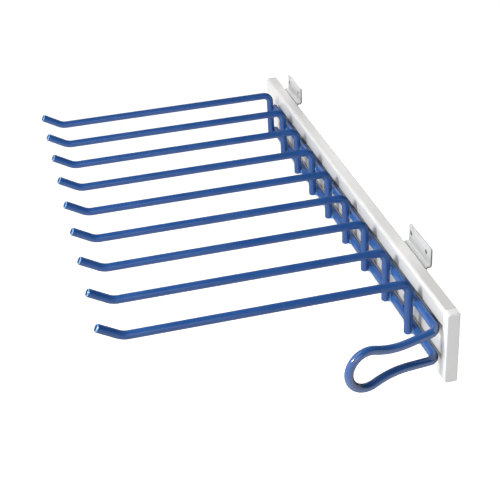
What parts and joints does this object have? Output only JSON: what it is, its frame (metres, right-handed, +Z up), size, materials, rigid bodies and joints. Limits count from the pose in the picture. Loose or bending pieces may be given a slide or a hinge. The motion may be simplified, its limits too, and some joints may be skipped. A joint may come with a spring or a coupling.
{
  "type": "pull-out trouser rack",
  "caption": "Pull-out trouser rack: coated wire fingers and a looped wire handle on a covered ball-bearing slide, hung from brackets on a wardrobe's side panel.",
  "frame": {"origin": "middle of the front bracket's two screw holes, on the wardrobe panel's face", "axes": "+X out of the rack into the panel, +Y along the slide towards the wardrobe's back, +Z up"},
  "size_m": [0.2462, 0.472, 0.0706],
  "materials": {
    "coated_wire": "glossy blue plastic coat on steel wire",
    "cover_plastic": "glossy white moulding",
    "cap_plastic": "satin white moulding",
    "bracket_steel": "zinc plated",
    "rail_steel": "zinc plated, rolled",
    "cage_steel": "bright strip",
    "ball_steel": "polished",
    "fastener_steel": "nickel plated",
    "buffer_plastic": "matt"
  },
  "bodies": {
    "cabinet_side": {"front_bracket": "bracket_steel", "rear_bracket": "bracket_steel", "front_bracket_upper_rivet": "fastener_steel", "front_bracket_lower_rivet": "fastener_steel", "rear_bracket_upper_rivet": "fastener_steel", "rear_bracket_lower_rivet": "fastener_steel", "outer_rail": "rail_steel", "closing_buffer": "buffer_plastic"},
    "outer_ball_cage": {"outer_cage": "cage_steel", "outer_balls": "ball_steel"},
    "middle_member": {"middle_rail": "rail_steel"},
    "inner_ball_cage": {"inner_cage": "cage_steel", "inner_balls": "ball_steel"},
    "rack": {"inner_rail": "rail_steel", "rail_cover": "cover_plastic", "front_cap": "cap_plastic", "frame_wire": "coated_wire", "finger_1": "coated_wire", "finger_2": "coated_wire", "finger_3": "coated_wire", "finger_4": "coated_wire", "finger_5": "coated_wire", "finger_6": "coated_wire", "finger_7": "coated_wire", "finger_8": "coated_wire", "finger_9": "coated_wire", "fixing_plate_front": "coated_wire", "fixing_plate_middle": "coated_wire", "fixing_plate_rear": "coated_wire", "frame_screw_front": "fastener_steel", "frame_screw_middle": "fastener_steel", "frame_screw_rear": "fastener_steel"}
  },
  "joints": [
    {"name": "pull_out", "type": "slide", "parent": "cabinet_side", "child": "rack", "axis": [0, -1, 0], "range_m": [0, 0.4]},
    {"name": "middle_rail_slide", "type": "slide", "parent": "cabinet_side", "child": "middle_member", "axis": [0, -1, 0], "range_m": [0, 0.2]},
    {"name": "outer_cage_slide", "type": "slide", "parent": "cabinet_side", "child": "outer_ball_cage", "axis": [0, -1, 0], "range_m": [0, 0.1]},
    {"name": "inner_cage_slide", "type": "slide", "parent": "cabinet_side", "child": "inner_ball_cage", "axis": [0, -1, 0], "range_m": [0, 0.3]}
  ],
  "couplings": [
    {"joint": "middle_rail_slide", "follows": "pull_out", "ratio": 0.5},
    {"joint": "outer_cage_slide", "follows": "pull_out", "ratio": 0.25},
    {"joint": "inner_cage_slide", "follows": "pull_out", "ratio": 0.75}
  ]
}
